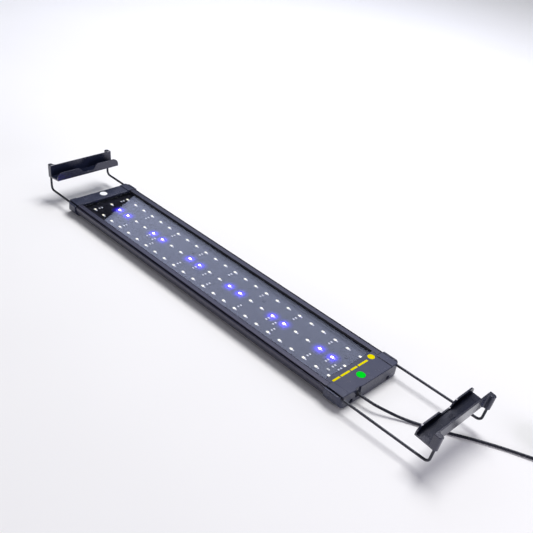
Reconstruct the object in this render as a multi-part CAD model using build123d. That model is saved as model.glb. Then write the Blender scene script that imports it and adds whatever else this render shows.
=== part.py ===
from build123d import *
import math
import os

# Aquarium light, lying on its back with the light side up.  Millimetres.
# Origin: centre of the housing's flat back.  +X along the lamp to the cord end, +Z up.

# --- whole lamp -------------------------------------------------------------------------
BODY_LENGTH = 500.0
NEAR_END = BODY_LENGTH / 2
FAR_END = -BODY_LENGTH / 2
NEAR_CAP_LENGTH = 23.0
FAR_CAP_LENGTH = 19.4
GASKET = 0.8

# --- extruded housing, seen along X -----------------------------------------------------
HALF_WIDTH = 50.2
RIM_TOP = 17.6
SIDE_TOP = 16.8
CORNER_R = 14.0
WINDOW_HALF = 40.1
RIM_OUTER = 47.2
RECESS_FLOOR = 9.7
CHAMBER_BOTTOM = 1.8
CHAMBER_TOP = 8.2
RIB_HALF = 0.8
PORT_Y, PORT_Z = 31.5, 5.1
PORT_OUTER_R, PORT_R = 3.7, 1.5

# --- rods and their channels ------------------------------------------------------------
ROD_R = 1.5
ROD_Y = 46.9
ROD_Z = 14.4
CHANNEL_R = 2.1
GUIDE_R = 1.57
GUIDE_LENGTH = 3.0
ROD_REACH = 142.0
BEND_R = 6.0
LEAN = 6.5
SLEEVE_LENGTH = 12.0
NEAR_BEND_X = 358.2
FAR_BEND_X = -293.9

# --- hanging clip, measured along and across the leaning rod leg ------------------------
CLIP_BASE = 19.4
CLIP_HALF = 50.0
CLIP_DEPTH = 22.9
FLOOR = 2.0
WALL = 1.7
OUTER_WALL_TOP = 36.4
OUTER_WALL_FACE = 4.0
BOSS_TOP = 37.2
BOSS_OUT = 3.1
BOSS_START = 43.4
BOSS_ROOT_R = 2.5
INNER_WALL_TOP = 30.4
DIP_FLOOR = 23.2
DIP_TOP_HALF = 17.0
DIP_FLOOR_HALF = 5.5
WALL_CORNER_R = 8.0
SOCKET_DEPTH = 14.0

# --- end caps ---------------------------------------------------------------------------
CAP_HALF = 51.6
CAP_CORNER_R = 12.0
EAR_INNER = 37.0
EAR_TOP = 18.4
LIP_TOP = 17.4
PLAN_CORNER_R = 8.0
CAP_WALL = 2.4
TONGUE_LENGTH = 9.2
TONGUE_BOTTOM = 16.0
COUNTERBORE_R = 2.7
HEAD_R, HEAD_HEIGHT = 2.6, 1.8
SHANK_R = 1.45
THREAD_GRIP = 8.0

# --- light engine -----------------------------------------------------------------------
PITCH = 18.75
ROW_SPACING = 26.9
COLUMNS = 24
GRID_CENTRE = -2.25
PAD_THICKNESS = 0.3
BOARD_THICKNESS = 1.6
BOARD_HALF = 39.9
LED_LONG, LED_WIDE, LED_HIGH = 5.7, 3.0, 0.8
BLUE_COLUMNS = [k for k in range(COLUMNS) if k % 4 in (1, 2)]
COVER_BOTTOM, COVER_TOP = 14.6, 15.8
COVER_HALF = 41.0
GROOVE_HALF = 41.2
GROOVE_PLAY = 0.05

# --- cord -------------------------------------------------------------------------------
CORD_D = 3.2
CORD_EXIT = (NEAR_END, -21.2, 9.9)
RELIEF_OUT = 2.0
COIL_CENTRE = (436.8, 89.9)
COIL_MEAN_R = 17.6
COIL_WIDE, COIL_HIGH = 3, 4
COIL_BOTTOM = 1.0
CORD_ROUTE = [
    (252.0, -21.2, 9.9),
    (268.0, -20.6, 9.2),
    (283.0, -14.0, 6.0),
    (296.0, -7.3, 3.0),
    (311.5, 0.4, 1.7),
    (340.0, 15.8, 1.7),
    (371.0, 35.2, 1.7),
    (400.0, 49.7, 1.7),
    (424.0, 59.9, 2.1),
    (445.4, 70.4, 2.6),
]
TAIL_ROUTE = [
    (443.0, 70.9, 12.2),
    (457.0, 73.2, 11.0),
    (469.5, 82.0, 7.6),
    (473.5, 95.0, 5.3),
    (473.5, 106.0, 5.1),
]
PLUG_R = 5.0
PLUG_GRIP = 21.0
BARREL_R, BARREL_LENGTH = 2.75, 9.5

EXTRUSION_NEAR = NEAR_END - NEAR_CAP_LENGTH - GASKET
EXTRUSION_FAR = FAR_END + FAR_CAP_LENGTH + GASKET
BOARD_TOP = RECESS_FLOOR + PAD_THICKNESS + BOARD_THICKNESS

nodes = {}


def slab(x0, x1, y0, y1, z0, z1):
    """A box between two corners."""
    return Pos((x0 + x1) / 2, (y0 + y1) / 2, (z0 + z1) / 2) * Box(x1 - x0, y1 - y0, z1 - z0)


def rod_along_x(radius, x0, x1, y, z):
    return Pos((x0 + x1) / 2, y, z) * Rot(0, 90, 0) * Cylinder(radius, x1 - x0)


def section(x, *edges):
    """A face in the plane across the lamp at x, from edges drawn in (y, z)."""
    return Plane.YZ.offset(x) * make_face(Curve() + [*edges])


def mirrored(shape, plane=Plane.XZ):
    return mirror(shape, about=plane)


def group(solids):
    return Compound(children=list(solids))


# --- housing ----------------------------------------------------------------------------
def housing_outline(half, corner, side_top, rim_outer, rim_top):
    """Closed outline: flat back, round lower corners, upright sides, raised rims."""
    right = [
        (half, corner),
        (half, side_top - 0.6),
        (half - 0.6, side_top),
        (rim_outer, side_top),
        (rim_outer, rim_top - 0.3),
        (rim_outer - 0.3, rim_top),
    ]
    left = [(-y, z) for y, z in reversed(right)]
    arc_mid = corner * (1 - math.sqrt(0.5))
    return [
        Line((-(half - corner), 0), (half - corner, 0)),
        ThreePointArc((half - corner, 0), (half - arc_mid, arc_mid), right[0]),
        Polyline(*right, *left),
        ThreePointArc(left[-1], (-(half - arc_mid), arc_mid), (-(half - corner), 0)),
    ]


def both_sides(shape):
    return [shape, mirrored(shape)]


def flat(y0, y1, z0, z1):
    """A rectangle in the section, between two corners."""
    return Pos((y0 + y1) / 2, (z0 + z1) / 2) * Rectangle(y1 - y0, z1 - z0)


def channel_section(radius, top):
    """Both rod channels with their slots open at the top."""
    right = Pos(ROD_Y, ROD_Z) * Circle(radius) + flat(RIM_OUTER, ROD_Y + radius + 0.1, ROD_Z, top)
    return right + mirror(right, about=Plane.YZ)


def port_section(radius):
    return [Pos(side * PORT_Y, PORT_Z) * Circle(radius) for side in (-1, 1)]


def extruded_profile(x0, x1):
    """A length of the housing's profile, with recess, grooves, chambers and ports."""
    profile = make_face(Curve() + housing_outline(HALF_WIDTH, CORNER_R, SIDE_TOP, RIM_OUTER, RIM_TOP))
    profile -= flat(-WINDOW_HALF, WINDOW_HALF, RECESS_FLOOR, RIM_TOP + 1)
    profile -= flat(-GROOVE_HALF, GROOVE_HALF, COVER_BOTTOM - GROOVE_PLAY, COVER_TOP + GROOVE_PLAY)
    profile -= channel_section(CHANNEL_R, RIM_TOP + 1)
    chamber_points = [
        (RIB_HALF, CHAMBER_BOTTOM),
        (38.0, CHAMBER_BOTTOM),
        (43.6, 6.0),
        (43.6, CHAMBER_TOP),
        (RIB_HALF, CHAMBER_TOP),
    ]
    chamber = make_face(Polyline(*chamber_points, close=True))
    chamber -= Pos(PORT_Y, PORT_Z) * Circle(PORT_OUTER_R)
    profile -= [chamber, mirror(chamber, about=Plane.YZ), *port_section(PORT_R)]
    return extrude(Plane.YZ.offset(x0) * profile, amount=x1 - x0)


nodes["housing_extrusion"] = extruded_profile(EXTRUSION_FAR, EXTRUSION_NEAR)
nodes["near_cap_gasket"] = extruded_profile(EXTRUSION_NEAR, EXTRUSION_NEAR + GASKET)
nodes["far_cap_gasket"] = extruded_profile(EXTRUSION_FAR - GASKET, EXTRUSION_FAR)


# --- end caps, both built at the +X end, the far one then turned round --------------------
def cap_body(length, bore_depth):
    """Hollow end cap: flat panel, raised ears, rod slots and two deep screw holes."""
    x0 = NEAR_END - length
    outline = housing_outline(CAP_HALF, CAP_CORNER_R, LIP_TOP, RIM_OUTER, EAR_TOP)
    cap = extrude(section(x0, *outline), amount=length)
    cap -= slab(x0, NEAR_END, -EAR_INNER, EAR_INNER, RIM_TOP, EAR_TOP + 1)
    front = cap.edges().filter_by_position(Axis.X, NEAR_END - 0.01, NEAR_END + 0.01)
    low_front = front.filter_by(lambda edge: edge.center().Z < CAP_CORNER_R)
    cap = chamfer(low_front, 1.2)
    top_front = cap.edges().filter_by_position(Axis.X, NEAR_END - 0.01, NEAR_END + 0.01)
    cap = chamfer(top_front.filter_by(lambda edge: edge.center().Z > SIDE_TOP), 0.5)
    plan = Pos(0, 0, -1) * extrude(
        RectangleRounded(2 * NEAR_END, 2 * CAP_HALF, PLAN_CORNER_R), amount=EAR_TOP + 3)
    cap &= plan
    pocket_points = [
        (-36.0, CAP_WALL),
        (36.0, CAP_WALL),
        (43.4, 9.6),
        (43.4, RIM_TOP - CAP_WALL),
        (-43.4, RIM_TOP - CAP_WALL),
        (-43.4, 9.6),
    ]
    pocket_length = length - CAP_WALL
    pocket = extrude(section(x0, Polyline(*pocket_points, close=True)), amount=pocket_length)
    pocket -= both_sides(rod_along_x(COUNTERBORE_R + 1.4, x0 - 1, NEAR_END, PORT_Y, PORT_Z))
    cap -= pocket
    cap -= both_sides(rod_along_x(SHANK_R + 0.2, x0, NEAR_END, PORT_Y, PORT_Z))
    cap -= both_sides(rod_along_x(COUNTERBORE_R, NEAR_END - bore_depth, NEAR_END, PORT_Y, PORT_Z))
    guide_start = NEAR_END - GUIDE_LENGTH
    wide, narrow = channel_section(CHANNEL_R, EAR_TOP + 1), channel_section(GUIDE_R, EAR_TOP + 1)
    cap -= extrude(Plane.YZ.offset(x0) * wide, amount=guide_start - x0)
    cap -= extrude(Plane.YZ.offset(guide_start) * narrow, amount=GUIDE_LENGTH)
    return cap


def turned_to_far_end(shape):
    return mirrored(shape, Plane.YZ)


NEAR_BORE_DEPTH = 12.0
FAR_BORE_DEPTH = 9.0
RELIEF_SEAT_R = 2.6
NOTCH_HALF = 3.9
NOTCH_DEPTH = 2.4

near_cap = cap_body(NEAR_CAP_LENGTH, NEAR_BORE_DEPTH)
tongue_start = NEAR_END - NEAR_CAP_LENGTH - TONGUE_LENGTH
tongue = slab(tongue_start, NEAR_END - NEAR_CAP_LENGTH, -39.9, 39.9, TONGUE_BOTTOM, RIM_TOP)
tongue_edge = tongue.edges().filter_by(Axis.Y).sort_by(Axis.X)[:2].sort_by(Axis.Z)[-1]
near_cap += chamfer(tongue_edge, 0.5)
notch_low = CORD_EXIT[2] - NOTCH_HALF
near_cap -= slab(NEAR_END - NOTCH_DEPTH + 0.9, NEAR_END + 1, CORD_EXIT[1] - NOTCH_HALF,
                 CORD_EXIT[1] + NOTCH_HALF, notch_low, EAR_TOP)
near_cap -= rod_along_x(RELIEF_SEAT_R, NEAR_END - 6, NEAR_END + 1, CORD_EXIT[1], CORD_EXIT[2])
nodes["near_end_cap"] = near_cap
nodes["far_end_cap"] = turned_to_far_end(cap_body(FAR_CAP_LENGTH, FAR_BORE_DEPTH))


def cap_screw(length, bore_depth):
    """Countersunk-in cap screw with a cross recess, its shank ending in the port."""
    head_front = NEAR_END - bore_depth + HEAD_HEIGHT
    tip = NEAR_END - length - GASKET - THREAD_GRIP
    screw = rod_along_x(HEAD_R, head_front - HEAD_HEIGHT, head_front, PORT_Y, PORT_Z)
    screw += rod_along_x(SHANK_R, tip, head_front - HEAD_HEIGHT, PORT_Y, PORT_Z)
    screw -= slab(head_front - 1, head_front + 1, PORT_Y - 1.6, PORT_Y + 1.6, PORT_Z - 0.3, PORT_Z + 0.3)
    screw -= slab(head_front - 1, head_front + 1, PORT_Y - 0.3, PORT_Y + 0.3, PORT_Z - 1.6, PORT_Z + 1.6)
    return screw


near_screw = cap_screw(NEAR_CAP_LENGTH, NEAR_BORE_DEPTH)
far_screw = turned_to_far_end(cap_screw(FAR_CAP_LENGTH, FAR_BORE_DEPTH))
nodes["near_cap_screws"] = group(both_sides(near_screw))
nodes["far_cap_screws"] = group(both_sides(far_screw))

# --- light engine -------------------------------------------------------------------------
BOARD_FAR = EXTRUSION_FAR + 1.0
BOARD_NEAR = EXTRUSION_NEAR - 0.2
nodes["thermal_pad"] = slab(BOARD_FAR + 3, BOARD_NEAR - 3, -36, 36, RECESS_FLOOR,
                            RECESS_FLOOR + PAD_THICKNESS)
BOARD_SCREW_X = [GRID_CENTRE + (k - 11.5) * PITCH for k in (0.5, 8.5, 15.5, 22.5)]
BOARD_SCREW_R = 1.2

board = slab(BOARD_FAR, BOARD_NEAR, -BOARD_HALF, BOARD_HALF, BOARD_TOP - BOARD_THICKNESS, BOARD_TOP)
for x in BOARD_SCREW_X:
    board -= Pos(x, ROW_SPACING / 2, BOARD_TOP) * Cylinder(BOARD_SCREW_R + 0.1, 8)
nodes["led_board"] = board


def board_screw(x):
    y = ROW_SPACING / 2
    head = Pos(x, y, BOARD_TOP + 0.4) * Cylinder(2.2, 0.8)
    shank = Pos(x, y, BOARD_TOP - 1.5) * Cylinder(BOARD_SCREW_R, 3.0)
    slot = Pos(x, y, BOARD_TOP + 0.7) * Rot(0, 0, 35) * Box(3.2, 0.5, 0.4)
    return head + shank - slot


hole_depth = BOARD_TOP - 3.0
for x in BOARD_SCREW_X:
    hole = Pos(x, ROW_SPACING / 2, RECESS_FLOOR) * Cylinder(BOARD_SCREW_R, 2 * (RECESS_FLOOR - hole_depth))
    nodes["housing_extrusion"] -= hole
    nodes["thermal_pad"] -= Pos(x, ROW_SPACING / 2, RECESS_FLOOR) * Cylinder(BOARD_SCREW_R + 0.1, 4)
nodes["board_screws"] = group(board_screw(x) for x in BOARD_SCREW_X)


def column_x(k):
    return GRID_CENTRE + (k - (COLUMNS - 1) / 2) * PITCH


def led(k, row):
    return Pos(column_x(k), row * ROW_SPACING, BOARD_TOP + LED_HIGH / 2) * Box(LED_LONG, LED_WIDE, LED_HIGH)


def is_blue(k, row):
    return row == 0 and k in BLUE_COLUMNS


places = [(k, row) for row in (-1, 0, 1) for k in range(COLUMNS)]
nodes["white_leds"] = group(led(k, row) for k, row in places if not is_blue(k, row))
nodes["blue_leds"] = group(led(k, row) for k, row in places if is_blue(k, row))

RESISTOR_OFFSET = 8.6
outer_resistors = [(k, side * (ROW_SPACING - RESISTOR_OFFSET)) for k in range(0, COLUMNS, 3) for side in (-1, 1)]
MIDDLE_RESISTOR_COLUMNS = (5, 5.6, 10, 11, 17, 17.6, 22, 23)
middle_resistors = [(k, -RESISTOR_OFFSET) for k in MIDDLE_RESISTOR_COLUMNS]


RESISTOR_WIDE, RESISTOR_LONG, RESISTOR_HIGH = 2.6, 5.9, 0.6


def resistor(x, y):
    return Pos(x, y, BOARD_TOP + RESISTOR_HIGH / 2) * Box(RESISTOR_WIDE, RESISTOR_LONG, RESISTOR_HIGH)


INPUT_PARTS_X = 205.8
chips = [resistor(column_x(k), y) for k, y in outer_resistors + middle_resistors]
chips.append(resistor(INPUT_PARTS_X, -9.8))
nodes["resistors"] = group(chips)
nodes["input_diode"] = Pos(INPUT_PARTS_X, -19.7, BOARD_TOP + 0.5) * Box(4.4, 2.6, 1.0)
nodes["clear_cover"] = slab(EXTRUSION_FAR + 0.3, EXTRUSION_NEAR - 0.2, -COVER_HALF, COVER_HALF,
                            COVER_BOTTOM, COVER_TOP)

SEAL_LEG = 0.9
seal_points = [
    (WINDOW_HALF, COVER_TOP + GROOVE_PLAY),
    (WINDOW_HALF, COVER_TOP + SEAL_LEG),
    (WINDOW_HALF - SEAL_LEG, COVER_TOP + GROOVE_PLAY),
]
seal = extrude(section(EXTRUSION_FAR + 0.3, Polyline(*seal_points, close=True)),
               amount=tongue_start - EXTRUSION_FAR - 0.6)
nodes["cover_seals"] = group(both_sides(seal))


# --- wiring inside the near cap -------------------------------------------------------------
def tube(points, radii, diameter):
    """Round tube along straight runs joined by tangent arcs."""
    path = FilletPolyline(*points, radius=radii)
    start = Plane(origin=path @ 0, z_dir=path % 0)
    return sweep(start * Circle(diameter / 2), path=path)


RELIEF_INNER = NEAR_END - 11.0
WIRE_D = 1.0


def lead_wire(side):
    y0 = CORD_EXIT[1] + side * 4.0
    y1 = CORD_EXIT[1] + side * 0.8
    z0 = BOARD_TOP + WIRE_D / 2 + 0.02
    points = [(221.0, y0, z0), (229.0, y0, z0), (RELIEF_INNER, y1, CORD_EXIT[2])]
    return tube(points, 4.0, WIRE_D)


nodes["supply_wire"] = lead_wire(1)
nodes["return_wire"] = lead_wire(-1)


def solder_joint(side):
    blob = Pos(219.7, CORD_EXIT[1] + side * 4.0, BOARD_TOP) * Sphere(1.2)
    return blob & slab(217, 221, -40, 0, BOARD_TOP, BOARD_TOP + 0.95)


nodes["solder_joints"] = group(solder_joint(side) for side in (-1, 1))


def strain_relief():
    """Moulded grommet: flange behind the end wall, neck through it, short taper outside."""
    radii = [(RELIEF_INNER, 3.4), (NEAR_END - 6.4, 3.4), (NEAR_END - 6.4, 2.55),
             (NEAR_END, 2.55), (NEAR_END + RELIEF_OUT, 2.0)]
    profile = [(x, CORD_EXIT[2] + r) for x, r in radii]
    axis_points = [(radii[-1][0], CORD_EXIT[2]), (radii[0][0], CORD_EXIT[2])]
    face = Plane.XZ.offset(-CORD_EXIT[1]) * make_face(Polyline(*profile, *axis_points, close=True))
    return revolve(face, Axis((0, CORD_EXIT[1], CORD_EXIT[2]), (1, 0, 0)), 360)


nodes["strain_relief"] = strain_relief()

# --- marks on the caps ------------------------------------------------------------------------
MARK = 0.12
DOT_R = 5.2
DASHES = [(-36.0, -24.5), (-22.5, -8.0), (-6.0, 4.5), (6.5, 22.5)]
STRIPE_X, STRIPE_WIDE = 225.6, 2.6
nodes["green_disc"] = Pos(237.2, -2.8, RIM_TOP + MARK / 2) * Cylinder(DOT_R, MARK)
nodes["white_disc"] = Pos(-241.5, 2.8, RIM_TOP + MARK / 2) * Cylinder(DOT_R, MARK)
dashes = [slab(STRIPE_X - STRIPE_WIDE / 2, STRIPE_X + STRIPE_WIDE / 2, a, b, RIM_TOP, RIM_TOP + MARK)
          for a, b in DASHES]
spot = Pos(STRIPE_X - 1.4, 30.9, RIM_TOP + MARK / 2) * Cylinder(4.2, MARK)
nodes["yellow_marks"] = group([*dashes, spot])


# --- hanging bracket, built at the +X end with its bend at the origin of the leg -----------------
def leg_point(bend_x, along, outward, y):
    """World point from distances along the leaning leg and outward from it."""
    a = math.radians(LEAN)
    return (bend_x + along * math.sin(a) + outward * math.cos(a), y,
            ROD_Z + along * math.cos(a) - outward * math.sin(a))


def bent_rod(bend_x):
    points = [(bend_x - ROD_REACH, ROD_Y, ROD_Z), (bend_x, ROD_Y, ROD_Z),
              leg_point(bend_x, CLIP_BASE + SOCKET_DEPTH - 0.5, 0, ROD_Y)]
    return tube(points, BEND_R, 2 * ROD_R)


def rod_sleeve(bend_x):
    x0 = bend_x - ROD_REACH
    return (rod_along_x(CHANNEL_R - 0.05, x0, x0 + SLEEVE_LENGTH, ROD_Y, ROD_Z)
            - rod_along_x(ROD_R + 0.01, x0, x0 + SLEEVE_LENGTH, ROD_Y, ROD_Z))


def inner_wall():
    """Wavy wall of the clip: rounded ends and a finger dip, drawn in (y, height)."""
    top, low, c = INNER_WALL_TOP, DIP_FLOOR, WALL_CORNER_R
    shoulder = (DIP_TOP_HALF + DIP_FLOOR_HALF) / 2
    middle = (top + low) / 2

    def side(s):
        corner = RadiusArc((s * (CLIP_HALF), top - c), (s * (CLIP_HALF - c), top), -s * c)
        flat = Line((s * (CLIP_HALF - c), top), (s * DIP_TOP_HALF, top))
        upper = TangentArc((s * DIP_TOP_HALF, top), (s * shoulder, middle), tangent=(-s, 0))
        lower = TangentArc((s * DIP_FLOOR_HALF, low), (s * shoulder, middle), tangent=(s, 0))
        return [corner, flat, upper, lower]

    rest = [
        Line((-CLIP_HALF, CLIP_BASE), (CLIP_HALF, CLIP_BASE)),
        Line((CLIP_HALF, CLIP_BASE), (CLIP_HALF, top - c)),
        Line((-CLIP_HALF, CLIP_BASE), (-CLIP_HALF, top - c)),
        Line((-DIP_FLOOR_HALF, low), (DIP_FLOOR_HALF, low)),
    ]
    face = make_face(Curve() + [*side(1), *side(-1), *rest])
    return extrude(Plane.YZ.offset(-CLIP_DEPTH) * face, amount=WALL)


def boss_plan():
    """Rod boss seen from above: block on the wall, round outer end, filleted root."""
    half = (CLIP_HALF - BOSS_START) / 2
    middle = BOSS_START + half
    inner_face = OUTER_WALL_FACE + WALL
    plan = Pos(-inner_face / 2, middle) * Rectangle(inner_face, 2 * half)
    plan += Pos(0, middle) * Ellipse(BOSS_OUT, half)
    root = Pos(-OUTER_WALL_FACE + BOSS_ROOT_R / 2, BOSS_START - BOSS_ROOT_R / 2) * Rectangle(
        BOSS_ROOT_R, BOSS_ROOT_R)
    root -= Pos(-OUTER_WALL_FACE + BOSS_ROOT_R, BOSS_START - BOSS_ROOT_R) * Circle(BOSS_ROOT_R)
    return plan + root


def upright_clip():
    """Clip in its own frame: leg axis up, lamp towards -X, base at CLIP_BASE."""
    inner_face = -OUTER_WALL_FACE - WALL
    clip = inner_wall()
    clip += slab(-CLIP_DEPTH, -OUTER_WALL_FACE, -CLIP_HALF, CLIP_HALF, CLIP_BASE, CLIP_BASE + FLOOR)
    clip += slab(inner_face, -OUTER_WALL_FACE, -CLIP_HALF, CLIP_HALF, CLIP_BASE, OUTER_WALL_TOP)
    boss = Pos(0, 0, CLIP_BASE) * extrude(boss_plan(), amount=BOSS_TOP - CLIP_BASE)
    boss = chamfer(boss.faces().sort_by(Axis.Z)[-1].edges(), 0.6)
    clip += both_sides(boss)
    clip -= both_sides(Pos(0, ROD_Y, CLIP_BASE + SOCKET_DEPTH / 2) * Cylinder(ROD_R + 0.02, SOCKET_DEPTH))
    grip_x = (-CLIP_DEPTH + inner_face) / 2
    for y in (-41, -3, 0, 3, 41):
        clip += Pos(grip_x, y, CLIP_BASE + FLOOR + 0.2) * Box(5.0, 1.0, 0.4)
    return clip


def leaning(shape, bend_x):
    return Pos(bend_x, 0, ROD_Z) * Rot(0, LEAN, 0) * shape


def bracket(name, bend_x, place):
    """Adds one bracket's nodes; place puts a +X end shape at its own end of the lamp."""
    rod = bent_rod(bend_x)
    nodes[f"{name}_left_rod"] = place(mirrored(rod))
    nodes[f"{name}_right_rod"] = place(rod)
    nodes[f"{name}_rod_sleeves"] = place(group(both_sides(rod_sleeve(bend_x))))
    nodes[f"{name}_clip"] = place(leaning(upright_clip(), bend_x))


bracket("near", NEAR_BEND_X, lambda shape: shape)
bracket("far", -FAR_BEND_X, turned_to_far_end)


# --- cord ---------------------------------------------------------------------------------------
def cord_radii(points):
    """Largest tangent arcs that the runs allow, one for each corner."""
    radii = []
    for a, b, c in zip(points, points[1:], points[2:]):
        run_in, run_out = Vector(b) - Vector(a), Vector(c) - Vector(b)
        turn = math.radians(run_in.get_angle(run_out))
        radii.append(0.45 * min(run_in.length, run_out.length) / math.tan(turn / 2))
    return radii


def cord_tube(name, points):
    radii = cord_radii(points)
    solid = tube(points, radii, CORD_D)
    length = FilletPolyline(*points, radius=radii).length
    expected = math.pi * CORD_D ** 2 / 4 * length
    print(f"{name}: radii {[round(r, 1) for r in radii]}, length {length:.1f}, "
          f"volume / section x length {solid.volume / expected:.4f}")
    return solid


nodes["cord_run"] = cord_tube("cord_run", CORD_ROUTE)
nodes["cord_tail"] = cord_tube("cord_tail", TAIL_ROUTE)

coil_inner = COIL_MEAN_R - COIL_WIDE * CORD_D / 2
coil_outer = COIL_MEAN_R + COIL_WIDE * CORD_D / 2
coil_height = COIL_HIGH * CORD_D
coil = Cylinder(coil_outer, coil_height) - Cylinder(coil_inner, coil_height)
coil = chamfer(coil.edges(), 0.8)
nodes["cord_coil"] = Pos(*COIL_CENTRE, COIL_BOTTOM + coil_height / 2) * coil

TIE_GAP, TIE_THICK, TIE_WIDE, TIE_ANGLE = 0.3, 0.6, 5.0, 155
tie_inside = Box(coil_outer - coil_inner + 2 * TIE_GAP, TIE_WIDE, coil_height + 2 * TIE_GAP)
tie_outside = Box(coil_outer - coil_inner + 2 * (TIE_GAP + TIE_THICK), TIE_WIDE,
                  coil_height + 2 * (TIE_GAP + TIE_THICK))
tie = Pos(COIL_MEAN_R, 0, COIL_BOTTOM + coil_height / 2) * (tie_outside - tie_inside)
nodes["coil_tie"] = Pos(*COIL_CENTRE, 0) * Rot(0, 0, TIE_ANGLE) * tie

# The plug lies beyond the tail's last point, along +Y.
plug_x, plug_y, plug_z = TAIL_ROUTE[-1]
grip_profile = [(0, plug_y), (2.4, plug_y), (3.4, plug_y + 8), (PLUG_R, plug_y + 10),
                (PLUG_R, plug_y + PLUG_GRIP - 1), (PLUG_R - 1, plug_y + PLUG_GRIP), (0, plug_y + PLUG_GRIP)]
plug_axis = Axis((0, 0, 0), (0, 1, 0))
grip = revolve(make_face(Polyline(*grip_profile, close=True)), plug_axis, 360)
nodes["plug_grip"] = Pos(plug_x, 0, plug_z) * grip
barrel_y = plug_y + PLUG_GRIP + BARREL_LENGTH / 2
barrel_at = Pos(plug_x, barrel_y, plug_z) * Rot(90, 0, 0)
nodes["plug_barrel"] = barrel_at * (Cylinder(BARREL_R, BARREL_LENGTH) - Cylinder(BARREL_R - 0.4, BARREL_LENGTH))
nodes["plug_insulator"] = barrel_at * (Cylinder(BARREL_R - 0.4, BARREL_LENGTH) - Cylinder(1.05, BARREL_LENGTH))

os.makedirs("parts", exist_ok=True)
for name, shape in nodes.items():
    export_step(shape, f"parts/{name}.step")
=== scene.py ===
import math
import random

import bmesh
import bpy
from mathutils import Matrix, Vector


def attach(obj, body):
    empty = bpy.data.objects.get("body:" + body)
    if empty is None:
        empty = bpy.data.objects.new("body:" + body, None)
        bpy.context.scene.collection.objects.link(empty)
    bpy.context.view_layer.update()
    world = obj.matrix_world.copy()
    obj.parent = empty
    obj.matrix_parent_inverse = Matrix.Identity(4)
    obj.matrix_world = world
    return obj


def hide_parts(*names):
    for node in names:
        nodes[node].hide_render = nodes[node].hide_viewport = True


# Looks of the aquarium light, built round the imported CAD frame.  Sizes of the light are in
# millimetres and are scaled by MM; the camera, the studio and the shader distances are in metres.
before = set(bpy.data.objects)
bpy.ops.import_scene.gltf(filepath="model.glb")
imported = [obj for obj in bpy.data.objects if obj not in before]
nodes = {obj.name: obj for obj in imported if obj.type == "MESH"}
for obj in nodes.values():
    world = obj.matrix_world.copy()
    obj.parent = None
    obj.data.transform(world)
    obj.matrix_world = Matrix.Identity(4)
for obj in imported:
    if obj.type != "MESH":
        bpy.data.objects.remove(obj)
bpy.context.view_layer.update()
scene = bpy.context.scene
scene.view_settings.view_transform = "Standard"

MM = 0.001
PITCH = 18.75
ROW_SPACING = 26.9
COLUMNS = 24
GRID_CENTRE = -2.25
BOARD_TOP = 11.6
BLUE_EVERY = 4
BLUE_IN_GROUP = (1, 2)
COVER_IOR = 1.49
# reach of the painted blue glow that the board's emission carries round the blue LEDs
PAINTED_GLOW_REACH = 0.0120

# --- camera -----------------------------------------------------------------------------
CAMERA_AT = Vector((0.58871, -0.59047, 0.55578))
CAMERA_AIM = Vector((0.01990, 0.06992, 0.01240))
CAMERA_ROLL = math.radians(8.472)
SENSOR = 36.0
LENS = 54.043

camera_data = bpy.data.cameras.new("camera")
camera_data.sensor_width = SENSOR
camera_data.lens = LENS
camera_data.clip_start, camera_data.clip_end = 0.02, 60.0
camera = bpy.data.objects.new("camera", camera_data)
scene.collection.objects.link(camera)
look = (CAMERA_AIM - CAMERA_AT).to_track_quat("-Z", "Y").to_matrix().to_4x4()
camera.matrix_world = Matrix.Translation(CAMERA_AT) @ look @ Matrix.Rotation(CAMERA_ROLL, 4, "Z")
scene.camera = camera


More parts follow.
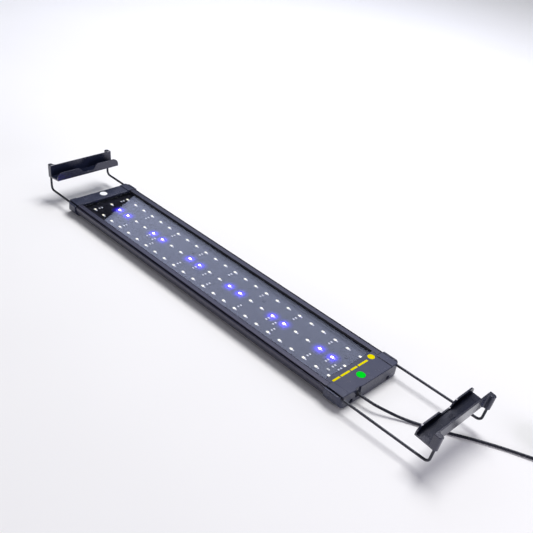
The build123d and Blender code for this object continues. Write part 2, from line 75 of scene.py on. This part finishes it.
# --- node material helpers ----------------------------------------------------------------
class Shader:
    """A procedural material built step by step on a Principled surface."""

    def __init__(self, name):
        self.material = bpy.data.materials.new(name)
        self.material.use_nodes = True
        self.tree = self.material.node_tree
        self.surface = self.tree.nodes["Principled BSDF"]
        self.where = self.add("ShaderNodeTexCoord").outputs["Object"]

    def add(self, kind, **values):
        node = self.tree.nodes.new(kind)
        for key, value in values.items():
            setattr(node, key, value)
        return node

    def link(self, source, target):
        self.tree.links.new(source, target)

    def set(self, **values):
        for key, value in values.items():
            self.surface.inputs[key.replace("_", " ")].default_value = value

    def stretched(self, scale):
        mapping = self.add("ShaderNodeMapping")
        mapping.inputs["Scale"].default_value = scale
        self.link(self.where, mapping.inputs["Vector"])
        return mapping.outputs["Vector"]

    def noise(self, scale, detail=4.0, stretch=(1, 1, 1), rough=0.5):
        node = self.add("ShaderNodeTexNoise")
        node.inputs["Scale"].default_value = scale
        node.inputs["Detail"].default_value = detail
        node.inputs["Roughness"].default_value = rough
        self.link(self.stretched(stretch), node.inputs["Vector"])
        return node.outputs["Fac"]

    def ramp(self, source, stops):
        node = self.add("ShaderNodeValToRGB")
        elements = node.color_ramp.elements
        elements[0].position, elements[0].color = stops[0][0], (*stops[0][1], 1)
        elements[1].position, elements[1].color = stops[-1][0], (*stops[-1][1], 1)
        for position, colour in stops[1:-1]:
            elements.new(position).color = (*colour, 1)
        self.link(source, node.inputs["Fac"])
        return node.outputs["Color"]

    def spread(self, source, low, high):
        node = self.add("ShaderNodeMapRange")
        node.inputs["From Min"].default_value = 0.3
        node.inputs["From Max"].default_value = 0.7
        node.inputs["To Min"].default_value = low
        node.inputs["To Max"].default_value = high
        self.link(source, node.inputs["Value"])
        return node.outputs["Result"]

    def colour(self, source, dark, light):
        """Base colour running between two colours as the noise goes."""
        self.link(self.ramp(source, [(0.3, dark), (0.7, light)]), self.surface.inputs["Base Color"])

    def roughness(self, source, low, high):
        self.link(self.spread(source, low, high), self.surface.inputs["Roughness"])

    def bump(self, source, distance, strength=1.0, edge=0.0):
        """Surface relief, with the sharp edges rounded off in the shading where edge is given."""
        node = self.add("ShaderNodeBump")
        node.inputs["Strength"].default_value = strength
        node.inputs["Distance"].default_value = distance
        self.link(source, node.inputs["Height"])
        if edge:
            bevel = self.add("ShaderNodeBevel", samples=6)
            bevel.inputs["Radius"].default_value = edge
            self.link(bevel.outputs["Normal"], node.inputs["Normal"])
        self.link(node.outputs["Normal"], self.surface.inputs["Normal"])


def moulded(name, dark, light, rough, grain, edge, tint=(0.80, 0.84, 1.0), gloss=0.0):
    """Moulded plastic with a fine spark-eroded texture and slight gloss variation; where gloss is given,
    painted shade dims the coat and specular in the corners.
    """
    s = Shader(name)
    s.set(IOR=1.54, Specular_Tint=(*tint, 1), Coat_Weight=gloss, Coat_Roughness=0.22)
    s.colour(s.noise(38, 3), dark, light)
    s.roughness(s.noise(95, 3), rough - 0.03, rough + 0.04)
    s.bump(s.noise(grain, 2, rough=0.65), 0.00004, 0.12, edge)
    if gloss:
        # painted shade: an ambient-occlusion mask dims the coat and specular in the corners of the
        # channel, where shade falls
        painted_shade_ao = s.add("ShaderNodeAmbientOcclusion", samples=8)
        painted_shade_ao.inputs["Distance"].default_value = 0.02
        for socket, most in (("Coat Weight", gloss), ("Specular IOR Level", 0.5)):
            fade = s.add("ShaderNodeMapRange")
            fade.inputs["From Min"].default_value = 0.45
            fade.inputs["From Max"].default_value = 0.92
            fade.inputs["To Min"].default_value = 0.04
            fade.inputs["To Max"].default_value = most
            s.link(painted_shade_ao.outputs["AO"], fade.inputs["Value"])
            s.link(fade.outputs["Result"], s.surface.inputs[socket])
    return s.material


def anodised():
    """Black anodised extrusion with faint drawn lines along its length."""
    s = Shader("anodised_black")
    s.set(IOR=1.6, Specular_Tint=(0.86, 0.82, 1.0, 1))
    lines = s.noise(260, 3, (0.012, 1, 1), 0.6)
    s.colour(lines, (0.014, 0.015, 0.030), (0.022, 0.023, 0.042))
    s.roughness(lines, 0.23, 0.29)
    s.bump(lines, 0.00004, 0.25, 0.0007)
    return s.material


def rubber(name, dark, light, rough, grain=2600):
    s = Shader(name)
    s.set(IOR=1.48, Specular_Tint=(0.80, 0.84, 1.0, 1))
    s.colour(s.noise(60, 3), dark, light)
    s.roughness(s.noise(140, 3), rough - 0.06, rough + 0.06)
    s.bump(s.noise(grain, 2), 0.00005, 0.4)
    return s.material


def metal(name, dark, light, rough, stretch=(1, 1, 1)):
    s = Shader(name)
    s.set(Metallic=1.0)
    streaks = s.noise(900, 3, stretch)
    s.colour(streaks, dark, light)
    s.roughness(streaks, rough - 0.05, rough + 0.08)
    s.bump(streaks, 0.00002, 0.3)
    return s.material


def printed(name, dark, light):
    """Screen-printed ink: slightly uneven in density."""
    s = Shader(name)
    s.set(Roughness=0.6, Specular_IOR_Level=0.0)
    s.colour(s.noise(700, 4), dark, light)
    s.bump(s.noise(3000, 2), 0.00003, 0.3)
    return s.material


def lit(name, dark, light, glow, strength):
    """A lit LED lens: bright, a little uneven like the phosphor under it."""
    s = Shader(name)
    grain = s.noise(1800, 3)
    s.colour(grain, dark, light)
    s.set(Roughness=0.3, Emission_Strength=strength)
    glow_dark = tuple(c * 0.88 for c in glow)
    s.link(s.ramp(grain, [(0.3, glow_dark), (0.7, glow)]), s.surface.inputs["Emission Color"])
    return s.material


def clear_film():
    """Clear sheet: mirror-like at low angles, otherwise seen straight through."""
    s = Shader("clear_acrylic")
    output = s.tree.nodes["Material Output"]
    fresnel = s.add("ShaderNodeFresnel")
    side = s.add("ShaderNodeMapRange")
    side.inputs["To Min"].default_value = COVER_IOR
    side.inputs["To Max"].default_value = 1 / COVER_IOR
    s.link(s.add("ShaderNodeNewGeometry").outputs["Backfacing"], side.inputs["Value"])
    s.link(side.outputs["Result"], fresnel.inputs["IOR"])
    through = s.add("ShaderNodeBsdfTransparent")
    haze = s.noise(9, 3)
    s.link(s.ramp(haze, [(0.3, (0.955, 0.965, 0.99)), (0.7, (0.975, 0.98, 1.0))]), through.inputs["Color"])
    mirror = s.add("ShaderNodeBsdfGlossy")
    mirror.inputs["Color"].default_value = (0.90, 0.93, 1.0, 1)
    s.link(s.spread(s.noise(30, 3), 0.006, 0.012), mirror.inputs["Roughness"])
    mix = s.add("ShaderNodeMixShader")
    s.link(fresnel.outputs["Fac"], mix.inputs[0])
    s.link(through.outputs["BSDF"], mix.inputs[1])
    s.link(mirror.outputs["BSDF"], mix.inputs[2])
    s.link(mix.outputs["Shader"], output.inputs["Surface"])
    return s.material


def painted_blue_glow(s):
    """Painted glow: the blue light that the blue LEDs, in pairs every fourth column, would throw on the
    board round them, painted into the board's emission.
    """
    axes = s.add("ShaderNodeSeparateXYZ")
    s.link(s.where, axes.inputs["Vector"])

    def step(operation, source, value=None):
        node = s.add("ShaderNodeMath", operation=operation)
        s.link(source, node.inputs[0])
        if value is not None:
            node.inputs[1].default_value = value
        return node.outputs["Value"]

    first_column = (GRID_CENTRE - (COLUMNS - 1) / 2 * PITCH) * MM
    column = step("DIVIDE", step("SUBTRACT", axes.outputs["X"], first_column), PITCH * MM)
    in_group = step("FLOORED_MODULO", column, float(BLUE_EVERY))
    pair_middle = sum(BLUE_IN_GROUP) / 2
    off_led = step("SUBTRACT", step("ABSOLUTE", step("SUBTRACT", in_group, pair_middle)), 0.5)
    along = step("POWER", step("ABSOLUTE", step("MULTIPLY", off_led, PITCH * MM)), 2.0)
    across = step("POWER", step("ABSOLUTE", axes.outputs["Y"]), 2.0)
    both = s.add("ShaderNodeMath", operation="ADD")
    s.link(along, both.inputs[0])
    s.link(across, both.inputs[1])
    distance = step("DIVIDE", step("SQRT", both.outputs["Value"]), PAINTED_GLOW_REACH)
    # painted glow colours: brightest at each blue LED pair, fading out with distance
    return s.ramp(distance, [
        (0.0, (0.20, 0.09, 2.6)),
        (0.25, (0.10, 0.04, 1.8)),
        (0.42, (0.040, 0.012, 0.9)),
        (0.65, (0.010, 0.003, 0.20)),
        (1.0, (0.0, 0.0, 0.0)),
    ])


def board_mask():
    """Black solder mask over copper, whose lands show as faint bricks, one to an LED; its emission carries
    a painted blue glow round the blue LEDs.
    """
    s = Shader("black_solder_mask")
    s.set(IOR=1.5)
    lands = s.add("ShaderNodeTexBrick")
    lands.inputs["Scale"].default_value = 1.0
    lands.inputs["Brick Width"].default_value = PITCH * MM
    lands.inputs["Row Height"].default_value = ROW_SPACING / 2 * MM
    lands.inputs["Mortar Size"].default_value = 0.0005
    lands.inputs["Color1"].default_value = (0.011, 0.011, 0.017, 1)
    lands.inputs["Color2"].default_value = (0.015, 0.015, 0.022, 1)
    lands.inputs["Mortar"].default_value = (0.006, 0.006, 0.009, 1)
    s.link(s.where, lands.inputs["Vector"])
    s.link(lands.outputs["Color"], s.surface.inputs["Base Color"])
    s.roughness(s.noise(50, 3), 0.010, 0.016)
    # painted light: the board itself glows blue round the blue LEDs
    s.set(Emission_Strength=1.0)
    s.link(painted_blue_glow(s), s.surface.inputs["Emission Color"])
    return s.material


MOULDED_TINT = (0.86, 0.84, 1.0)
cap_plastic = moulded("cap_plastic", (0.020, 0.024, 0.046), (0.026, 0.031, 0.056), 0.25, 2400, 0.0008,
                      MOULDED_TINT)
clip_plastic = moulded("clip_plastic", (0.008, 0.011, 0.026), (0.012, 0.015, 0.034), 0.24, 2400,
                       0.0005, MOULDED_TINT, gloss=0.6)
housing_metal = anodised()
rod_coat = moulded("rod_powder_coat", (0.005, 0.005, 0.009), (0.010, 0.010, 0.016), 0.24, 3200, 0.0)
silicone = rubber("black_silicone", (0.008, 0.008, 0.010), (0.014, 0.014, 0.017), 0.6)
cord_skin = rubber("cord_pvc", (0.006, 0.006, 0.011), (0.011, 0.011, 0.018), 0.28)
dark_screw = metal("dark_screw", (0.03, 0.03, 0.035), (0.06, 0.06, 0.065), 0.35)
black_screw = rubber("blackened_screw", (0.010, 0.010, 0.014), (0.018, 0.018, 0.024), 0.34)
tinned = rubber("tinned_solder", (0.84, 0.84, 0.86), (0.93, 0.93, 0.94), 0.42)
nickel = metal("nickel", (0.62, 0.60, 0.56), (0.78, 0.76, 0.71), 0.18, (1, 0.05, 1))
red_skin = rubber("red_wire_skin", (0.42, 0.010, 0.010), (0.55, 0.018, 0.016), 0.4)
pad_grey = rubber("thermal_pad_grey", (0.26, 0.26, 0.28), (0.34, 0.34, 0.36), 0.7)
nylon = rubber("black_nylon", (0.012, 0.012, 0.016), (0.020, 0.020, 0.026), 0.40)
clear_cover = clear_film()
solder_mask = board_mask()
green_ink = printed("green_ink", (0.0, 0.62, 0.012), (0.0, 0.74, 0.020))
white_ink = printed("white_ink", (0.80, 0.81, 0.84), (0.90, 0.91, 0.93))
yellow_ink = printed("yellow_ink", (0.72, 0.62, 0.0), (0.86, 0.75, 0.0))
frame_white = moulded("led_frame_white", (0.62, 0.62, 0.60), (0.74, 0.74, 0.72), 0.35, 3000, 0.0)
chip_black = moulded("chip_black", (0.05, 0.05, 0.06), (0.08, 0.08, 0.09), 0.4, 3000, 0.0)
chip_pale = moulded("chip_pale", (0.62, 0.61, 0.56), (0.74, 0.73, 0.68), 0.35, 3000, 0.0)
white_lens = lit("white_led_lens", (0.9, 0.85, 0.7), (0.95, 0.92, 0.8), (1.0, 0.92, 0.62), 1.05)
blue_lens = lit("blue_led_lens", (0.3, 0.25, 0.9), (0.5, 0.4, 1.0), (0.17, 0.10, 1.0), 70.0)

LOOKS = {
    "housing_extrusion": housing_metal,
    "near_end_cap": cap_plastic,
    "far_end_cap": cap_plastic,
    "near_cap_gasket": silicone,
    "far_cap_gasket": silicone,
    "near_cap_screws": dark_screw,
    "far_cap_screws": dark_screw,
    "clear_cover": clear_cover,
    "cover_seals": silicone,
    "led_board": solder_mask,
    "thermal_pad": pad_grey,
    "board_screws": black_screw,
    "supply_wire": red_skin,
    "return_wire": cord_skin,
    "solder_joints": tinned,
    "strain_relief": silicone,
    "green_disc": green_ink,
    "white_disc": white_ink,
    "yellow_marks": yellow_ink,
    "near_left_rod": rod_coat,
    "near_right_rod": rod_coat,
    "far_left_rod": rod_coat,
    "far_right_rod": rod_coat,
    "near_rod_sleeves": nylon,
    "far_rod_sleeves": nylon,
    "near_clip": clip_plastic,
    "far_clip": clip_plastic,
    "coil_tie": silicone,
    "plug_grip": cord_skin,
    "plug_barrel": nickel,
    "plug_insulator": chip_black,
}
for node_name, look_material in LOOKS.items():
    mesh = nodes[node_name].data
    mesh.materials.clear()
    mesh.materials.append(look_material)

# --- cord ---------------------------------------------------------------------------------
CORD_D = 3.2
RUN = [
    (252.0, -21.2, 9.9),
    (268.0, -20.6, 9.2),
    (283.0, -14.0, 6.0),
    (296.0, -7.3, 3.0),
    (311.5, 0.4, 1.7),
    (340.0, 15.8, 1.7),
    (371.0, 35.2, 1.7),
    (400.0, 49.7, 1.7),
    (424.0, 59.9, 2.1),
    (445.4, 70.4, 2.6),
]
TAIL = [
    (443.0, 70.9, 12.2),
    (457.0, 73.2, 11.0),
    (469.5, 82.0, 7.6),
    (473.5, 95.0, 5.3),
    (473.5, 106.0, 5.1),
    (473.5, 107.5, 5.1),
]
COIL_CENTRE = (436.8, 89.9)
COIL_MEAN_R = 17.6
LAYER_LOW = 2.6
TURNS_WIDE, LAYERS = 3, 4
START_ANGLE = -66.0
END_ANGLE = -72.0
STEPS = 16


def coil_points():
    """Wound turns: each layer runs in or out by one cord a turn, then steps up."""
    turns = TURNS_WIDE * LAYERS
    total = turns * 360 + END_ANGLE - START_ANGLE
    swell = 1 / math.cos(math.radians(360 / STEPS / 2)) ** 2
    count = int(turns * STEPS)
    points = []
    for i in range(2, count - 1):
        part = i / count * turns
        layer = min(int(part / TURNS_WIDE), LAYERS - 1)
        within = part - layer * TURNS_WIDE
        turn = min(int(within), TURNS_WIDE - 1)
        step = max(0.0, (within - turn - 0.75) / 0.25)
        step = step * step * (3 - 2 * step)
        column = turn + (step if turn < TURNS_WIDE - 1 else 0.0)
        rise = step if turn == TURNS_WIDE - 1 and layer < LAYERS - 1 else 0.0
        outward = 1 - column if layer % 2 == 0 else column - 1
        radius = (COIL_MEAN_R + outward * CORD_D) * swell
        angle = math.radians(START_ANGLE + i / count * total)
        points.append((COIL_CENTRE[0] + radius * math.cos(angle),
                       COIL_CENTRE[1] + radius * math.sin(angle),
                       LAYER_LOW + (layer + rise) * CORD_D))
    return points


def cord_curve():
    points = RUN + coil_points() + TAIL
    data = bpy.data.curves.new("supply_cord", "CURVE")
    data.dimensions = "3D"
    spline = data.splines.new("NURBS")
    spline.points.add(len(points) - 1)
    for target, point in zip(spline.points, points):
        target.co = (*(c * MM for c in point), 1.0)
    spline.order_u = 3
    spline.use_endpoint_u = True
    spline.resolution_u = 6
    data.bevel_depth = CORD_D / 2 * MM
    data.bevel_resolution = 5
    data.use_fill_caps = True
    data.materials.append(cord_skin)
    cord = bpy.data.objects.new("supply_cord", data)
    scene.collection.objects.link(cord)
    return cord


cord = cord_curve()
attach(cord, "lamp")
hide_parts("cord_run", "cord_coil", "cord_tail")

# --- parts on the board ---------------------------------------------------------------------
def column_x(k):
    return GRID_CENTRE + (k - (COLUMNS - 1) / 2) * PITCH


def new_piece(name, mesh, body, *materials):
    piece_mesh = bpy.data.meshes.new(name)
    mesh.to_mesh(piece_mesh)
    mesh.free()
    for material in materials:
        piece_mesh.materials.append(material)
    piece = bpy.data.objects.new(name, piece_mesh)
    scene.collection.objects.link(piece)
    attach(piece, body)
    return piece


def rounded_block(mesh, centre, size, bevel, index):
    """A block with bevelled edges, standing on its centre point's z."""
    made = bmesh.ops.create_cube(mesh, size=1.0)["verts"]
    bmesh.ops.scale(mesh, vec=[s * MM for s in size], verts=made)
    edges = list({e for v in made for e in v.link_edges})
    made = bmesh.ops.bevel(mesh, geom=edges, offset=bevel * MM, segments=2, profile=0.6,
                           affect="EDGES")
    faces = made["faces"]
    verts = list({v for f in faces for v in f.verts})
    whole = set(verts)
    linked = [f for v in verts for f in v.link_faces]
    whole.update(v for f in linked for v in f.verts)
    place = Vector(centre) * MM + Vector((0, 0, size[2] * MM / 2))
    bmesh.ops.translate(mesh, vec=place, verts=list(whole))
    for face in {f for v in whole for f in v.link_faces}:
        face.material_index = index
        face.smooth = False


def lens(mesh, centre, long, wide, high, index):
    """A low oval dome, its rim flush with the package top."""
    around, rings = 20, 3
    x0, y0, z0 = (c * MM for c in centre)
    loops = []
    for ring in range(rings):
        share = ring / rings
        shrink = math.cos(share * math.pi / 2)
        rise = math.sin(share * math.pi / 2) * high * MM
        loops.append([mesh.verts.new((x0 + long * MM / 2 * shrink * math.cos(2 * math.pi * i / around),
                                      y0 + wide * MM / 2 * shrink * math.sin(2 * math.pi * i / around),
                                      z0 + rise)) for i in range(around)])
    top = mesh.verts.new((x0, y0, z0 + high * MM))
    faces = []
    for low, up in zip(loops, loops[1:]):
        for i in range(around):
            j = (i + 1) % around
            faces.append(mesh.faces.new((low[i], low[j], up[j], up[i])))
    for i in range(around):
        faces.append(mesh.faces.new((loops[-1][i], loops[-1][(i + 1) % around], top)))
    for face in faces:
        face.material_index = index
        face.smooth = True


PACKAGE = (4.2, 3.2, 0.62)
LENS_LONG, LENS_WIDE, LENS_HIGH = 3.4, 2.8, 0.18
PACKAGE_GAP = 0.02
LEAD, LEAD_AT = (2.0, 1.7, 0.30), 3.0
SMALL_LEAD, SMALL_LEAD_AT = (0.7, 1.9, 0.30), -2.5
LED_WANDER = 0.08
rng = random.Random(7)


def led(mesh, k, row):
    """White package with its lit oval; the wide solder land shows at the +X end."""
    x = column_x(k) + rng.uniform(-LED_WANDER, LED_WANDER)
    y = row * ROW_SPACING + rng.uniform(-LED_WANDER, LED_WANDER)
    package_foot = BOARD_TOP + PACKAGE_GAP
    rounded_block(mesh, (x - 0.1, y, package_foot), PACKAGE, 0.18, 0)
    rounded_block(mesh, (x + LEAD_AT, y, BOARD_TOP), LEAD, 0.10, 1)
    rounded_block(mesh, (x + SMALL_LEAD_AT, y, BOARD_TOP), SMALL_LEAD, 0.10, 1)
    lens(mesh, (x - 0.2, y, package_foot + PACKAGE[2]), LENS_LONG, LENS_WIDE, LENS_HIGH, 2)


def is_blue(k, row):
    return row == 0 and k % BLUE_EVERY in BLUE_IN_GROUP


white_mesh, blue_mesh = bmesh.new(), bmesh.new()
for row in (-1, 0, 1):
    for k in range(COLUMNS):
        led(blue_mesh if is_blue(k, row) else white_mesh, k, row)
white_leds = new_piece("white_led_array", white_mesh, "lamp", frame_white, tinned, white_lens)
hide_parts("white_leds")
blue_leds = new_piece("blue_led_array", blue_mesh, "lamp", frame_white, tinned, blue_lens)
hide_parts("blue_leds")

RESISTOR_OFFSET = 8.6
OUTER_RESISTOR_STEP = 3
MIDDLE_RESISTOR_COLUMNS = (5, 5.6, 10, 11, 17, 17.6, 22, 23)
RESISTOR_BODY = (1.7, 2.3, 0.50)
RESISTOR_END, RESISTOR_END_AT = (2.6, 1.8, 0.56), 2.05
INPUT_X = 205.8
INPUT_RESISTOR_Y = -9.8
DIODE_Y = -19.7
DIODE_BODY = (3.6, 2.5, 0.90)
DIODE_LEAD, DIODE_LEAD_AT = (0.7, 1.6, 0.35), 1.85


def resistor(mesh, x, y):
    """Chip resistor across the lamp: dark middle between two tinned ends."""
    rounded_block(mesh, (x, y, BOARD_TOP + 0.03), RESISTOR_BODY, 0.06, 0)
    for side in (-1, 1):
        rounded_block(mesh, (x, y + side * RESISTOR_END_AT, BOARD_TOP), RESISTOR_END, 0.14, 1)


chips = bmesh.new()
for k in range(0, COLUMNS, OUTER_RESISTOR_STEP):
    for side in (-1, 1):
        resistor(chips, column_x(k), side * (ROW_SPACING - RESISTOR_OFFSET))
for k in MIDDLE_RESISTOR_COLUMNS:
    resistor(chips, column_x(k), -RESISTOR_OFFSET)
resistor(chips, INPUT_X, INPUT_RESISTOR_Y)
resistors = new_piece("chip_resistors", chips, "lamp", chip_black, tinned)
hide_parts("resistors")

diode_mesh = bmesh.new()
rounded_block(diode_mesh, (INPUT_X, DIODE_Y, BOARD_TOP + 0.05), DIODE_BODY, 0.20, 0)
for side in (-1, 1):
    rounded_block(diode_mesh, (INPUT_X + side * DIODE_LEAD_AT, DIODE_Y, BOARD_TOP), DIODE_LEAD, 0.1, 1)
diode = new_piece("input_diode_package", diode_mesh, "lamp", chip_pale, tinned)
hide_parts("input_diode")

# --- seals along the window -------------------------------------------------------------------
# Each is a silicone bead with a concave face that climbs the inner wall of the rim.
SEAL_RISE = 2.0
SEAL_LEG = 0.9
SEAL_WANDER = 0.03
SEAL_WALL_GAP, SEAL_FOOT_GAP = 0.02, 0.01
SEAL_STATIONS = 60
WALL_STEPS = 6


def seal_bead(mesh, side, x0, x1, wall, foot, leg):
    rings = []
    for i in range(SEAL_STATIONS + 1):
        x = x0 + (x1 - x0) * i / SEAL_STATIONS
        rise = SEAL_RISE * MM + rng.uniform(-SEAL_WANDER, SEAL_WANDER) * MM
        ring = [mesh.verts.new((x, side * wall, foot))]
        for j in range(WALL_STEPS + 1):
            turn = j / WALL_STEPS * math.pi / 2
            ring.append(mesh.verts.new((x, side * (wall - leg * (1 - math.sin(turn))),
                                        foot + rise * (1 - math.cos(turn)))))
        rings.append(ring)
    around = WALL_STEPS + 2
    for low, up in zip(rings, rings[1:]):
        for j in range(around):
            k = (j + 1) % around
            mesh.faces.new((low[j], low[k], up[k], up[j])).smooth = 0 < j < around - 1
    for ring in (rings[0], rings[-1]):
        mesh.faces.new(ring)


seal_points = [nodes["cover_seals"].matrix_world @ v.co for v in nodes["cover_seals"].data.vertices]
seal_mesh = bmesh.new()
for side in (-1, 1):
    seal_bead(seal_mesh, side, min(v.x for v in seal_points), max(v.x for v in seal_points),
              max(v.y for v in seal_points) - SEAL_WALL_GAP * MM,
              min(v.z for v in seal_points) + SEAL_FOOT_GAP * MM, SEAL_LEG * MM)
bmesh.ops.recalc_face_normals(seal_mesh, faces=seal_mesh.faces)
seals = new_piece("silicone_seal_beads", seal_mesh, "lamp", silicone)
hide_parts("cover_seals")

# --- studio ---------------------------------------------------------------------------------
FLOOR_SIZE = 30.0
FLOOR_DROP = 0.0002
floor_mesh = bmesh.new()
bmesh.ops.create_grid(floor_mesh, x_segments=2, y_segments=2, size=FLOOR_SIZE / 2)
floor_data = bpy.data.meshes.new("studio_floor")
floor_mesh.to_mesh(floor_data)
floor_mesh.free()
floor = bpy.data.objects.new("studio_floor", floor_data)
floor.location.z = -FLOOR_DROP
scene.collection.objects.link(floor)
paper = Shader("floor_paper")
paper.colour(paper.noise(3, 2), (0.86, 0.86, 0.87), (0.88, 0.88, 0.89))
paper.set(Roughness=0.85, Specular_IOR_Level=0.1)
floor_data.materials.append(paper.material)

world = bpy.data.worlds.new("studio_world")
scene.world = world
world.use_nodes = True
background = world.node_tree.nodes["Background"]
background.inputs["Color"].default_value = (0.93, 0.95, 1.0, 1)
background.inputs["Strength"].default_value = 0.20


def softbox(name, centre, aim, width, depth, radiance, colour, turn=0.0):
    """Rectangular area light of a given brightness, facing its aim point."""
    data = bpy.data.lights.new(name, "AREA")
    data.shape = "RECTANGLE"
    data.size, data.size_y = width, depth
    data.energy = radiance * math.pi * width * depth
    data.color = colour
    box = bpy.data.objects.new(name, data)
    facing = (Vector(aim) - Vector(centre)).to_track_quat("-Z", "Y").to_matrix().to_4x4()
    box.matrix_world = Matrix.Translation(centre) @ facing @ Matrix.Rotation(turn, 4, "Z")
    box.visible_camera = False
    scene.collection.objects.link(box)


WINDOW_BOX_AT = Vector((-0.734, 0.908, 0.80))
DOWN = Vector((0, 0, -1))
WINDOW_BOX_TURN = math.radians(25)
softbox("window_softbox", WINDOW_BOX_AT, WINDOW_BOX_AT + DOWN, 1.15, 0.95, 1.22, (0.70, 0.75, 1.0),
        WINDOW_BOX_TURN)
softbox("key_softbox", (-0.20, 0.80, 2.00), (0, 0, 0), 1.25, 1.05, 10.4, (1.0, 0.99, 0.98))
softbox("end_softbox", (1.9, 0.1, 0.42), (0.25, 0, 0), 0.9, 0.6, 10.0, (0.93, 0.88, 1.0))
softbox("side_softbox", (0.1, -1.9, 0.40), (0, 0, 0), 1.4, 0.5, 2.5, (0.96, 0.88, 1.0))

# A black card beside the window softbox leaves the far corner of the cover dark.
CARD_AT = (-1.62, 0.80, 0.82)
CARD_WIDE, CARD_DEEP = 0.55, 0.8
card_mesh = bmesh.new()
bmesh.ops.create_grid(card_mesh, x_segments=1, y_segments=1, size=0.5)
card_data = bpy.data.meshes.new("black_card")
card_mesh.to_mesh(card_data)
card_mesh.free()
card = bpy.data.objects.new("black_card", card_data)
card.matrix_world = (Matrix.Translation(CARD_AT) @ Matrix.Rotation(WINDOW_BOX_TURN, 4, "Z")
                     @ Matrix.Diagonal((CARD_WIDE, CARD_DEEP, 1, 1)))
card.visible_camera = False
scene.collection.objects.link(card)
card_paper = Shader("card_paper")
card_paper.colour(card_paper.noise(40, 2), (0.004, 0.004, 0.006), (0.008, 0.008, 0.010))
card_data.materials.append(card_paper.material)
